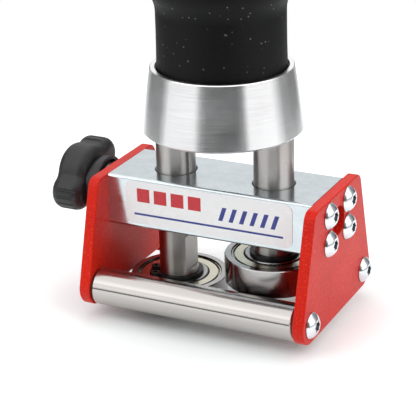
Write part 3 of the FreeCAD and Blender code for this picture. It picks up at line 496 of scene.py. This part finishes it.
# Painted shadow: the dark colour that the floor takes where the tool shuts it in
PAINTED_SHADOW_COLOUR = grey(0.02)
PAINTED_SHADOW_REACH = 25.0 * MM
PAINTED_SHADOW_DARKEST = 0.10
PAINTED_SHADOW_FREE = 0.28
PAINTED_SHADOW_SAMPLES = 16
GLOW = 0.34
GLOW_START = 14.0 * MM
GLOW_FULL = 80.0 * MM


def floor_finish():
    """Matt paint, darkened as painted shadow where the tool shuts it in, and a glow that lights nothing
    and is only seen, directly or mirrored, and that is held down near the tool as painted shade.
    """
    material, tree = new_material("studio_floor")
    rays = tree.add("ShaderNodeLightPath")
    seen = tree.calc("ADD", rays.outputs["Is Camera Ray"], rays.outputs["Is Glossy Ray"], clamp=True)
    seen = tree.calc("ADD", seen, rays.outputs["Is Transmission Ray"], clamp=True)
    # Painted shadow: where the tool shuts the floor in, its colour turns to the dark painted-shadow colour
    free = tree.openness(PAINTED_SHADOW_REACH, PAINTED_SHADOW_DARKEST, PAINTED_SHADOW_FREE, PAINTED_SHADOW_SAMPLES)
    matt = tree.add("ShaderNodeBsdfDiffuse")
    tree.join(tree.blend(free, PAINTED_SHADOW_COLOUR, FLOOR_COLOUR), matt.inputs["Color"])
    distance = tree.vector_calc("LENGTH", tree.mapped(place=CENTRE), output="Value")
    # Painted shade: the glow is held down near the tool, so the floor round it looks shaded
    away = tree.remap(distance, GLOW_START, GLOW_FULL, new_high=GLOW)
    glow = tree.add("ShaderNodeEmission")
    tree.join(tree.calc("MULTIPLY", seen, away), glow.inputs["Strength"])
    both = tree.add("ShaderNodeAddShader")
    tree.put_all(both, {0: matt.outputs[0], 1: glow.outputs[0]})
    tree.end(both)
    return material


def floor():
    turns = [math.tau * step / FLOOR_SIDES for step in range(FLOOR_SIDES)]
    rim = [(CENTRE.x + FLOOR_RADIUS * math.cos(turn), CENTRE.y + FLOOR_RADIUS * math.sin(turn), 0.0)
           for turn in turns]
    flat_piece("studio_floor", rim, [tuple(range(FLOOR_SIDES))], floor_finish())


# Surroundings: an even fill, and panels of light that only the tool's gloss mirrors. A panel stop is an
# azimuth in degrees, from the camera's side to the right, and the level there. A height stop is a height,
# from -1 straight down to 1 straight up, and the strength there. Overhead, the panels give way to white
WORLD_FILL = 0.55
PANEL_LIGHT = 1.4
PANEL_STOPS = (
    (-180.0, 0.84), (-152.0, 0.55), (-138.0, 0.18), (-104.0, 0.20), (-96.0, 0.55), (-88.0, 1.25),
    (-42.0, 1.30), (-33.0, 0.30), (-24.0, 0.12), (0.0, 0.08), (20.0, 0.09), (29.0, 0.30), (37.0, 1.50),
    (78.0, 1.50), (88.0, 1.00), (98.0, 0.42), (124.0, 0.22), (144.0, 0.22), (158.0, 0.74), (180.0, 0.84))
HEIGHT_STOPS = (
    (-1.0, 0.55), (-0.06, 0.55), (-0.02, 0.12), (0.06, 0.12), (0.12, 0.75), (0.30, 0.90), (0.43, 0.78),
    (0.60, 1.15), (0.80, 1.10), (1.0, 1.00))
OVERHEAD_START = 0.62
OVERHEAD_FULL = 0.78


def panels(tree, direction):
    """The level that the gloss sees in a direction, which is split into its three coordinates."""
    azimuth = tree.calc("ARCTAN2", direction.outputs["Y"], direction.outputs["X"])
    azimuth = tree.calc("SUBTRACT", azimuth, CAMERA_AZIMUTH)
    azimuth = tree.calc("WRAP", azimuth, math.pi, -math.pi)
    level = tree.ramp(tree.remap(azimuth, -math.pi, math.pi, -180.0, 180.0), PANEL_STOPS)
    overhead = tree.remap(direction.outputs["Z"], OVERHEAD_START, OVERHEAD_FULL)
    return tree.blend(overhead, level, WHITE)


def world():
    """White behind the tool, an even fill, and panels of light that only the gloss sees."""
    surroundings = bpy.data.worlds.new("studio")
    bpy.context.scene.world = surroundings
    surroundings.use_nodes = True
    tree = Nodes(surroundings.node_tree)
    rays = tree.add("ShaderNodeLightPath")
    glossy = rays.outputs["Is Glossy Ray"]
    clear = tree.calc("ADD", rays.outputs["Is Camera Ray"], rays.outputs["Is Transmission Ray"], clamp=True)
    coordinates = tree.add("ShaderNodeTexCoord")
    direction = tree.add("ShaderNodeSeparateXYZ")
    tree.join(coordinates.outputs["Generated"], direction.inputs[0])
    level = tree.blend(glossy, WHITE, panels(tree, direction))
    mirrored = tree.calc("MULTIPLY", tree.ramp(direction.outputs["Z"], HEIGHT_STOPS), PANEL_LIGHT)
    light = tree.calc("ADD", tree.calc("MULTIPLY", glossy, mirrored),
                      tree.calc("MULTIPLY", tree.calc("SUBTRACT", 1.0, glossy), WORLD_FILL))
    background = tree.add("ShaderNodeBackground")
    tree.put_all(background, {"Color": tree.blend(clear, level, WHITE),
                              "Strength": tree.calc("MAXIMUM", light, clear)})
    tree.end(background, "ShaderNodeOutputWorld")


# Lamps, in metres, degrees and watts
LAMP_DISTANCE = 1.0


def lamp(name, azimuth, elevation, width, power):
    """A square soft lamp aimed at the tool, its azimuth measured from the camera's, to the right."""
    data = bpy.data.lights.new(name, "AREA")
    data.shape = "SQUARE"
    data.size = width
    data.energy = power
    way = CAMERA_AZIMUTH + math.radians(azimuth)
    lift = math.radians(elevation)
    offset = Vector((math.cos(way) * math.cos(lift), math.sin(way) * math.cos(lift), math.sin(lift)))
    aim = CENTRE + Vector((0.0, 0.0, COLLAR_MIDDLE.z / 2))
    holder = placed(name, data)
    holder.location = aim + offset * LAMP_DISTANCE
    holder.rotation_euler = offset.to_track_quat("Z", "Y").to_euler()
    holder.visible_glossy = False


def lights():
    lamp("lamp_left", azimuth=-60.0, elevation=45.0, width=0.7, power=2.8)
    lamp("lamp_right", azimuth=60.0, elevation=45.0, width=0.7, power=3.0)
    lamp("lamp_top", azimuth=170.0, elevation=70.0, width=0.8, power=2.8)


bpy.context.scene.view_settings.view_transform = "Standard"
camera()
dress_nodes()
label_marks()
floor()
world()
lights()
